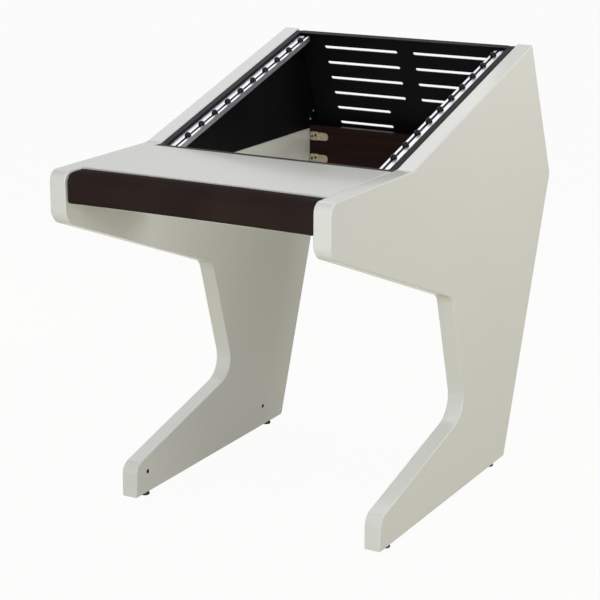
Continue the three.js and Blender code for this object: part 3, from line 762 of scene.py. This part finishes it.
# Stage: a white floor under plain studio light, seen from where the photograph was taken.
# Lamps in front, on both sides and high behind keep every side of the desk out of the shade.
camera_place = (1.7294, -3.2097, 1.4291)
camera_azimuth = math.radians(28.96)
camera_pitch = math.radians(-15.72)
camera_roll = math.radians(0.18)
image_width = 600
focal_pixels = 1814.0
sensor_width = 36.0
far_limit = 100

camera_data = bpy.data.cameras.new("studio_camera")
camera_data.sensor_width = sensor_width
camera_data.lens = focal_pixels / image_width * sensor_width
camera_data.clip_end = far_limit
camera = bpy.data.objects.new("studio_camera", camera_data)
bpy.context.scene.collection.objects.link(camera)
turn = (Matrix.Rotation(camera_azimuth, 4, "Z")
        @ Matrix.Rotation(math.pi / 2 + camera_pitch, 4, "X")
        @ Matrix.Rotation(camera_roll, 4, "Z"))
camera.matrix_world = Matrix.Translation(camera_place) @ turn
bpy.context.scene.camera = camera

floor_half = 20.0
floor_colour = (0.62, 0.61, 0.46, 1.0)
floor_roughness = 0.6
floor_shadow_share = 0.05
floor_mirrored_share = 0.5
floor_mesh = bpy.data.meshes.new("studio_floor")
floor_bm = bmesh.new()
bmesh.ops.create_grid(floor_bm, x_segments=1, y_segments=1, size=floor_half)
floor_bm.to_mesh(floor_mesh)
floor_bm.free()
studio_floor = bpy.data.objects.new("studio_floor", floor_mesh)
bpy.context.scene.collection.objects.link(studio_floor)


def stage_white(name, shadow_share, mirrored_share):
    """White for the camera with a share of real shading, and paler where it's mirrored."""
    material, tree, shader, place = node_material(name)
    shader.inputs["Base Color"].default_value = floor_colour
    shader.inputs["Roughness"].default_value = floor_roughness
    light = tree.nodes.new("ShaderNodeEmission")
    rays = tree.nodes.new("ShaderNodeLightPath")
    shares = []
    for kind, white_share in (("Is Camera Ray", 1 - shadow_share), ("Is Glossy Ray", mirrored_share)):
        share = tree.nodes.new("ShaderNodeMath")
        share.operation = "MULTIPLY"
        share.inputs[1].default_value = white_share
        tree.links.new(rays.outputs[kind], share.inputs[0])
        shares.append(share.outputs["Value"])
    seen = tree.nodes.new("ShaderNodeMath")
    seen.operation = "MAXIMUM"
    for number, share in enumerate(shares):
        tree.links.new(share, seen.inputs[number])
    mixed = tree.nodes.new("ShaderNodeMixShader")
    tree.links.new(seen.outputs["Value"], mixed.inputs["Fac"])
    tree.links.new(shader.outputs["BSDF"], mixed.inputs[1])
    tree.links.new(light.outputs["Emission"], mixed.inputs[2])
    output = tree.nodes["Material Output"]
    tree.links.new(mixed.outputs["Shader"], output.inputs["Surface"])
    return material


floor_mesh.materials.append(stage_white("floor_white", floor_shadow_share, floor_mirrored_share))

plain_level = 0.28
white_level = 1.0
world = bpy.data.worlds.new("studio")
bpy.context.scene.world = world
world.use_nodes = True
sky = world.node_tree
backdrop = sky.nodes["Background"]
backdrop.inputs["Color"].default_value = (1.0, 1.0, 1.0, 1.0)
rays = sky.nodes.new("ShaderNodeLightPath")
seen = rays.outputs["Is Camera Ray"]
for kind in ("Is Glossy Ray", "Is Transmission Ray"):
    either = sky.nodes.new("ShaderNodeMath")
    either.operation = "MAXIMUM"
    sky.links.new(seen, either.inputs[0])
    sky.links.new(rays.outputs[kind], either.inputs[1])
    seen = either.outputs["Value"]
level = sky.nodes.new("ShaderNodeMapRange")
level.inputs["To Min"].default_value = plain_level
level.inputs["To Max"].default_value = white_level
sky.links.new(seen, level.inputs["Value"])
sky.links.new(level.outputs["Result"], backdrop.inputs["Strength"])


def softbox(name, place, aim, size, watts, colour):
    """A rectangular studio lamp turned to face a point."""
    lamp = bpy.data.lights.new(name, "AREA")
    lamp.shape = "RECTANGLE"
    lamp.size, lamp.size_y = size
    lamp.energy = watts
    lamp.color = colour
    holder = bpy.data.objects.new(name, lamp)
    bpy.context.scene.collection.objects.link(holder)
    holder.location = place
    holder.rotation_mode = "QUATERNION"
    holder.rotation_quaternion = (Vector(aim) - Vector(place)).to_track_quat("-Z", "Y")


softbox("side_softbox", (1.6, 0.6, 1.8), (0.3, 0.35, 0.7), (1.1, 1.1), 17, (1.0, 0.99, 0.96))
softbox("front_softbox", (0.95, -2.95, 1.5), (0.0, 0.0, 0.4), (2.0, 2.0), 55, (0.93, 0.95, 1.0))
softbox("top_softbox", (-1.6, 1.8, 2.8), (0.0, 0.1, 0.8), (1.8, 1.2), 10, (0.95, 0.96, 1.0))
softbox("left_softbox", (-2.3, 0.2, 0.7), (-0.3, 0.1, 0.5), (1.4, 1.0), 16, (1.0, 0.99, 0.96))

bpy.context.scene.view_settings.view_transform = "Standard"
